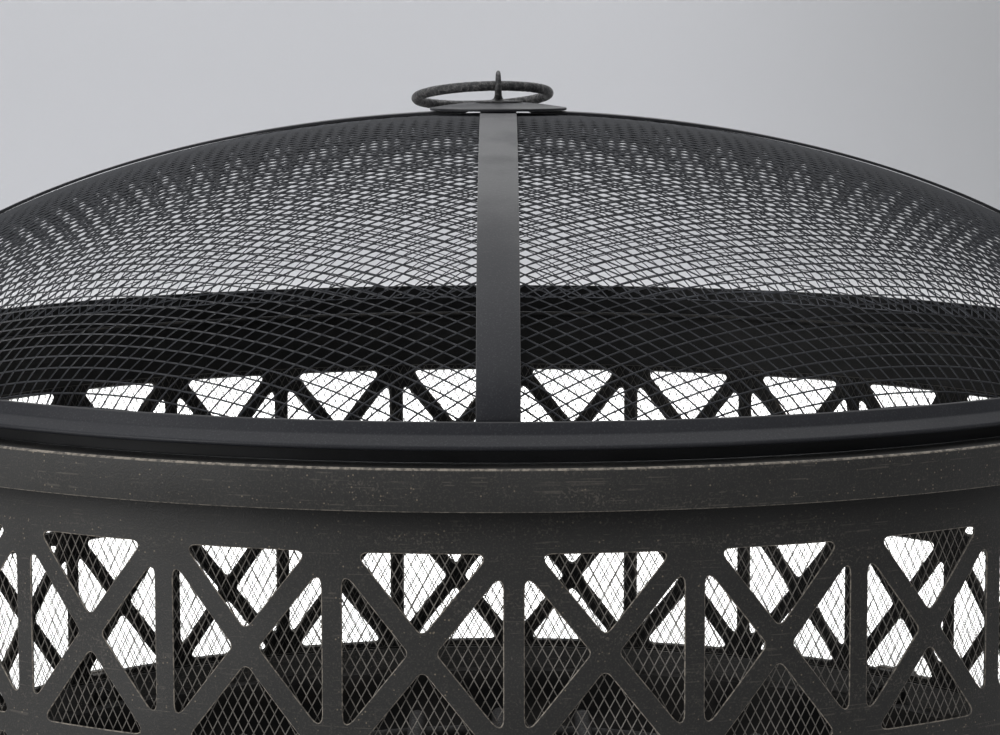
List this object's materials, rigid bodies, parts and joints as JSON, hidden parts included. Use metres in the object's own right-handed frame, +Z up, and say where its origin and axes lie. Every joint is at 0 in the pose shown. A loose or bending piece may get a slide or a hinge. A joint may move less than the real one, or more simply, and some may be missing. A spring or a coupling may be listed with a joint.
{
  "type": "fire pit",
  "caption": "Round steel fire pit on four legs, with a pierced lattice drum lined with mesh, a fire bowl, a log grate and a domed mesh spark lid with a ring handle.",
  "frame": {"origin": "on the ground under the middle of the drum", "axes": "+Z up, -Y towards the front, +X towards the right as seen from the front"},
  "size_m": [0.75, 0.75, 0.5352],
  "materials": {
    "bronze_paint": "satin dark bronze paint, rubbed to tan along its edges, with fine flecks and horizontal scratches",
    "lid_paint": "satin charcoal heat paint",
    "handle_paint": "rough hammered black paint",
    "dome_mesh": "expanded steel mesh, satin charcoal paint",
    "lining_mesh": "fine expanded steel mesh, satin dark paint",
    "bowl_enamel": "sooty dark brown heat paint",
    "grate_iron": "dull blackened iron rod",
    "bare_steel": "blackened fasteners",
    "pad_plastic": "matt black plastic"
  },
  "bodies": {
    "pit": {"base_ring": "bronze_paint", "drum_wall_left_front": "bronze_paint", "drum_wall_left_rear": "bronze_paint", "drum_wall_right_front": "bronze_paint", "drum_wall_right_rear": "bronze_paint", "fire_bowl": "bowl_enamel", "foot_pad_1": "pad_plastic", "foot_pad_2": "pad_plastic", "foot_pad_3": "pad_plastic", "foot_pad_4": "pad_plastic", "leg_1": "bronze_paint", "leg_2": "bronze_paint", "leg_3": "bronze_paint", "leg_4": "bronze_paint", "leg_bolt_1a": "bare_steel", "leg_bolt_1b": "bare_steel", "leg_bolt_2a": "bare_steel", "leg_bolt_2b": "bare_steel", "leg_bolt_3a": "bare_steel", "leg_bolt_3b": "bare_steel", "leg_bolt_4a": "bare_steel", "leg_bolt_4b": "bare_steel", "leg_nut_1a": "bare_steel", "leg_nut_1b": "bare_steel", "leg_nut_2a": "bare_steel", "leg_nut_2b": "bare_steel", "leg_nut_3a": "bare_steel", "leg_nut_3b": "bare_steel", "leg_nut_4a": "bare_steel", "leg_nut_4b": "bare_steel", "mesh_lining": "lining_mesh", "rim_ring": "bronze_paint", "seam_plate": "bare_steel", "seam_rivet_1": "bare_steel", "seam_rivet_2": "bare_steel", "seam_rivet_3": "bare_steel"},
    "log_grate": {"log_grate_bar_1": "grate_iron", "log_grate_bar_2": "grate_iron", "log_grate_bar_3": "grate_iron", "log_grate_bar_4": "grate_iron", "log_grate_bar_5": "grate_iron", "log_grate_bar_6": "grate_iron", "log_grate_bar_7": "grate_iron", "log_grate_foot_1": "grate_iron", "log_grate_foot_2": "grate_iron", "log_grate_foot_3": "grate_iron", "log_grate_foot_4": "grate_iron", "log_grate_ring": "grate_iron"},
    "lid": {"cap_plate": "lid_paint", "dome_mesh_left_front": "dome_mesh", "dome_mesh_left_rear": "dome_mesh", "dome_mesh_right_front": "dome_mesh", "dome_mesh_right_rear": "dome_mesh", "eye_bolt": "lid_paint", "inner_nut": "bare_steel", "inner_washer": "bare_steel", "lid_ring": "lid_paint", "strap_front_rear": "lid_paint", "strap_left_right": "lid_paint"},
    "handle": {"ring_handle": "handle_paint"}
  },
  "joints": [
    {"name": "grate_lift", "type": "slide", "parent": "pit", "child": "log_grate", "axis": [0, 0, 1], "range_m": [0, 0.2]},
    {"name": "lid_lift", "type": "slide", "parent": "pit", "child": "lid", "axis": [0, 0, 1], "range_m": [0, 0.3]},
    {"name": "handle_swing", "type": "hinge", "parent": "lid", "child": "handle", "pos_m": [0, 0, 0.5268], "axis": [0.9703, 0.2419, 0], "range_deg": [0, 196]}
  ]
}
